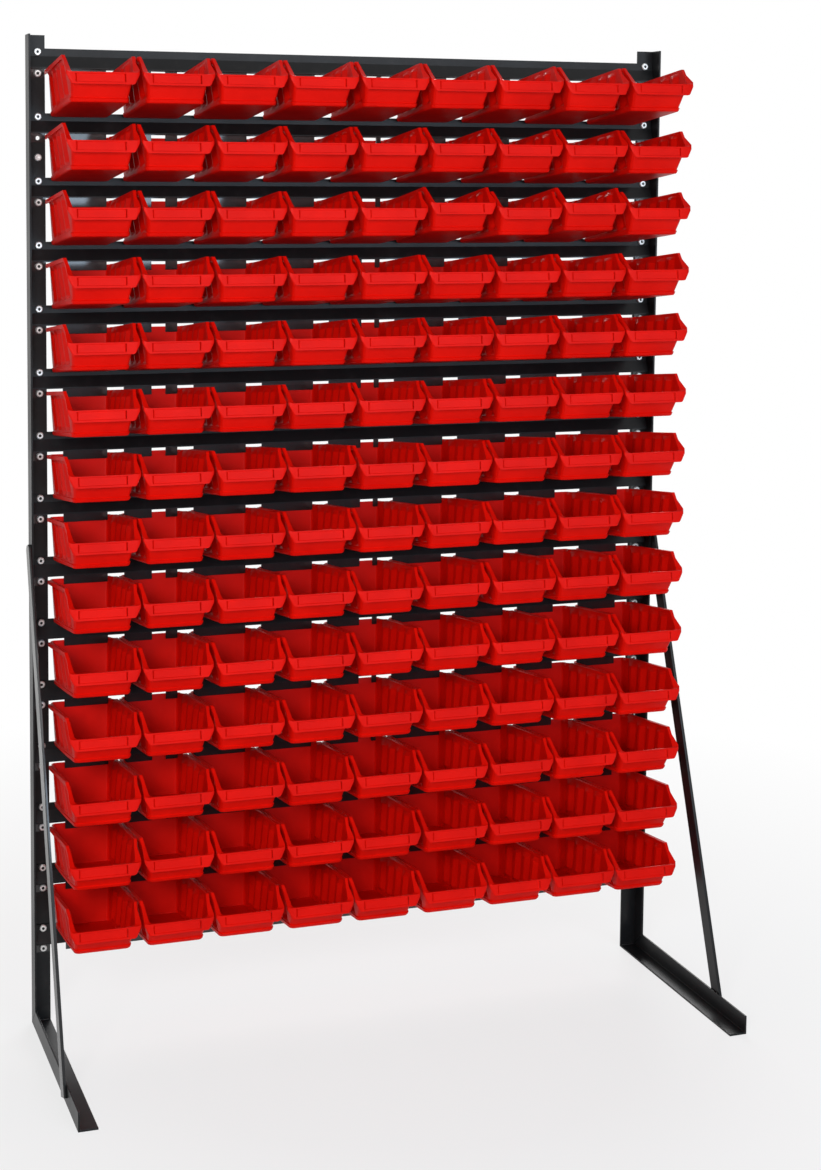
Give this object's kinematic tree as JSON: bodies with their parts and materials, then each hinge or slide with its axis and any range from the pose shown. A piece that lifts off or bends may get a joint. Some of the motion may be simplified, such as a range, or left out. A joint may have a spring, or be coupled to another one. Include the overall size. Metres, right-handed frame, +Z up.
{
  "type": "storage bin rack",
  "caption": "Free-standing steel rack whose bolted cross rails carry rows of open-fronted, tapered plastic storage bins; each bin hangs between two rails and lifts off.",
  "frame": {"origin": "middle of the rack's footprint, on the floor", "axes": "+X to the viewer's right, +Y to the back, +Z up; bins open towards -Y"},
  "size_m": [1.095, 0.3874, 1.583],
  "materials": {
    "frame_paint": "semi-gloss black paint",
    "zinc": "bright zinc plating",
    "bin_plastic": "semi-gloss moulded plastic"
  },
  "bodies": {
    "rack": {"upright_left": "frame_paint", "upright_right": "frame_paint", "foot_left": "frame_paint", "foot_right": "frame_paint", "brace_left": "frame_paint", "brace_right": "frame_paint", "rail_01": "frame_paint", "rail_02": "frame_paint", "rail_03": "frame_paint", "rail_04": "frame_paint", "rail_05": "frame_paint", "rail_06": "frame_paint", "rail_07": "frame_paint", "rail_08": "frame_paint", "rail_09": "frame_paint", "rail_10": "frame_paint", "rail_11": "frame_paint", "rail_12": "frame_paint", "rail_13": "frame_paint", "rail_14": "frame_paint", "rail_15": "frame_paint", "screws_left": "zinc", "screws_right": "zinc", "nuts_left": "zinc", "nuts_right": "zinc"},
    "bins_row_01": {"bins_row_01": "bin_plastic"},
    "bins_row_02": {"bins_row_02": "bin_plastic"},
    "bins_row_03": {"bins_row_03": "bin_plastic"},
    "bins_row_06": {"bins_row_06": "bin_plastic"},
    "bins_row_07": {"bins_row_07": "bin_plastic"},
    "bins_row_08": {"bins_row_08": "bin_plastic"},
    "bins_row_09": {"bins_row_09": "bin_plastic"},
    "bins_row_10": {"bins_row_10": "bin_plastic"},
    "bins_row_11": {"bins_row_11": "bin_plastic"},
    "bins_row_12": {"bins_row_12": "bin_plastic"},
    "bins_row_13": {"bins_row_13": "bin_plastic"},
    "bins_row_14": {"bins_row_14": "bin_plastic"},
    "bin_row_04_column_1": {"bin_row_04_column_1": "bin_plastic"},
    "bin_row_04_column_2": {"bin_row_04_column_2": "bin_plastic"},
    "bin_row_04_column_3": {"bin_row_04_column_3": "bin_plastic"},
    "bin_row_04_column_4": {"bin_row_04_column_4": "bin_plastic"},
    "bin_row_04_column_5": {"bin_row_04_column_5": "bin_plastic"},
    "bin_row_04_column_6": {"bin_row_04_column_6": "bin_plastic"},
    "bin_row_04_column_7": {"bin_row_04_column_7": "bin_plastic"},
    "bin_row_04_column_8": {"bin_row_04_column_8": "bin_plastic"},
    "bin_row_04_column_9": {"bin_row_04_column_9": "bin_plastic"},
    "bin_row_05_column_1": {"bin_row_05_column_1": "bin_plastic"},
    "bin_row_05_column_2": {"bin_row_05_column_2": "bin_plastic"},
    "bin_row_05_column_3": {"bin_row_05_column_3": "bin_plastic"},
    "bin_row_05_column_4": {"bin_row_05_column_4": "bin_plastic"},
    "bin_row_05_column_5": {"bin_row_05_column_5": "bin_plastic"},
    "bin_row_05_column_6": {"bin_row_05_column_6": "bin_plastic"},
    "bin_row_05_column_7": {"bin_row_05_column_7": "bin_plastic"},
    "bin_row_05_column_8": {"bin_row_05_column_8": "bin_plastic"},
    "bin_row_05_column_9": {"bin_row_05_column_9": "bin_plastic"}
  },
  "joints": [
    {"name": "bins_row_01_lift", "type": "slide", "parent": "rack", "child": "bins_row_01", "axis": [0, 0, 1], "range_m": [0, 0.0035]},
    {"name": "bins_row_02_lift", "type": "slide", "parent": "rack", "child": "bins_row_02", "axis": [0, 0, 1], "range_m": [0, 0.0035]},
    {"name": "bins_row_03_lift", "type": "slide", "parent": "rack", "child": "bins_row_03", "axis": [0, 0, 1], "range_m": [0, 0.0035]},
    {"name": "bins_row_06_lift", "type": "slide", "parent": "rack", "child": "bins_row_06", "axis": [0, 0, 1], "range_m": [0, 0.0035]},
    {"name": "bins_row_07_lift", "type": "slide", "parent": "rack", "child": "bins_row_07", "axis": [0, 0, 1], "range_m": [0, 0.0035]},
    {"name": "bins_row_08_lift", "type": "slide", "parent": "rack", "child": "bins_row_08", "axis": [0, 0, 1], "range_m": [0, 0.0035]},
    {"name": "bins_row_09_lift", "type": "slide", "parent": "rack", "child": "bins_row_09", "axis": [0, 0, 1], "range_m": [0, 0.0035]},
    {"name": "bins_row_10_lift", "type": "slide", "parent": "rack", "child": "bins_row_10", "axis": [0, 0, 1], "range_m": [0, 0.0035]},
    {"name": "bins_row_11_lift", "type": "slide", "parent": "rack", "child": "bins_row_11", "axis": [0, 0, 1], "range_m": [0, 0.0035]},
    {"name": "bins_row_12_lift", "type": "slide", "parent": "rack", "child": "bins_row_12", "axis": [0, 0, 1], "range_m": [0, 0.0035]},
    {"name": "bins_row_13_lift", "type": "slide", "parent": "rack", "child": "bins_row_13", "axis": [0, 0, 1], "range_m": [0, 0.0035]},
    {"name": "bins_row_14_lift", "type": "slide", "parent": "rack", "child": "bins_row_14", "axis": [0, 0, 1], "range_m": [0, 0.0035]},
    {"name": "bin_row_04_column_1_lift", "type": "slide", "parent": "rack", "child": "bin_row_04_column_1", "axis": [0, 0, 1], "range_m": [0, 0.0035]},
    {"name": "bin_row_04_column_2_lift", "type": "slide", "parent": "rack", "child": "bin_row_04_column_2", "axis": [0, 0, 1], "range_m": [0, 0.0035]},
    {"name": "bin_row_04_column_3_lift", "type": "slide", "parent": "rack", "child": "bin_row_04_column_3", "axis": [0, 0, 1], "range_m": [0, 0.0035]},
    {"name": "bin_row_04_column_4_lift", "type": "slide", "parent": "rack", "child": "bin_row_04_column_4", "axis": [0, 0, 1], "range_m": [0, 0.0035]},
    {"name": "bin_row_04_column_5_lift", "type": "slide", "parent": "rack", "child": "bin_row_04_column_5", "axis": [0, 0, 1], "range_m": [0, 0.0035]},
    {"name": "bin_row_04_column_6_lift", "type": "slide", "parent": "rack", "child": "bin_row_04_column_6", "axis": [0, 0, 1], "range_m": [0, 0.0035]},
    {"name": "bin_row_04_column_7_lift", "type": "slide", "parent": "rack", "child": "bin_row_04_column_7", "axis": [0, 0, 1], "range_m": [0, 0.0035]},
    {"name": "bin_row_04_column_8_lift", "type": "slide", "parent": "rack", "child": "bin_row_04_column_8", "axis": [0, 0, 1], "range_m": [0, 0.0035]},
    {"name": "bin_row_04_column_9_lift", "type": "slide", "parent": "rack", "child": "bin_row_04_column_9", "axis": [0, 0, 1], "range_m": [0, 0.0035]},
    {"name": "bin_row_05_column_1_lift", "type": "slide", "parent": "rack", "child": "bin_row_05_column_1", "axis": [0, 0, 1], "range_m": [0, 0.0035]},
    {"name": "bin_row_05_column_2_lift", "type": "slide", "parent": "rack", "child": "bin_row_05_column_2", "axis": [0, 0, 1], "range_m": [0, 0.0035]},
    {"name": "bin_row_05_column_3_lift", "type": "slide", "parent": "rack", "child": "bin_row_05_column_3", "axis": [0, 0, 1], "range_m": [0, 0.0035]},
    {"name": "bin_row_05_column_4_lift", "type": "slide", "parent": "rack", "child": "bin_row_05_column_4", "axis": [0, 0, 1], "range_m": [0, 0.0035]},
    {"name": "bin_row_05_column_5_lift", "type": "slide", "parent": "rack", "child": "bin_row_05_column_5", "axis": [0, 0, 1], "range_m": [0, 0.0035]},
    {"name": "bin_row_05_column_6_lift", "type": "slide", "parent": "rack", "child": "bin_row_05_column_6", "axis": [0, 0, 1], "range_m": [0, 0.0035]},
    {"name": "bin_row_05_column_7_lift", "type": "slide", "parent": "rack", "child": "bin_row_05_column_7", "axis": [0, 0, 1], "range_m": [0, 0.0035]},
    {"name": "bin_row_05_column_8_lift", "type": "slide", "parent": "rack", "child": "bin_row_05_column_8", "axis": [0, 0, 1], "range_m": [0, 0.0035]},
    {"name": "bin_row_05_column_9_lift", "type": "slide", "parent": "rack", "child": "bin_row_05_column_9", "axis": [0, 0, 1], "range_m": [0, 0.0035]}
  ]
}
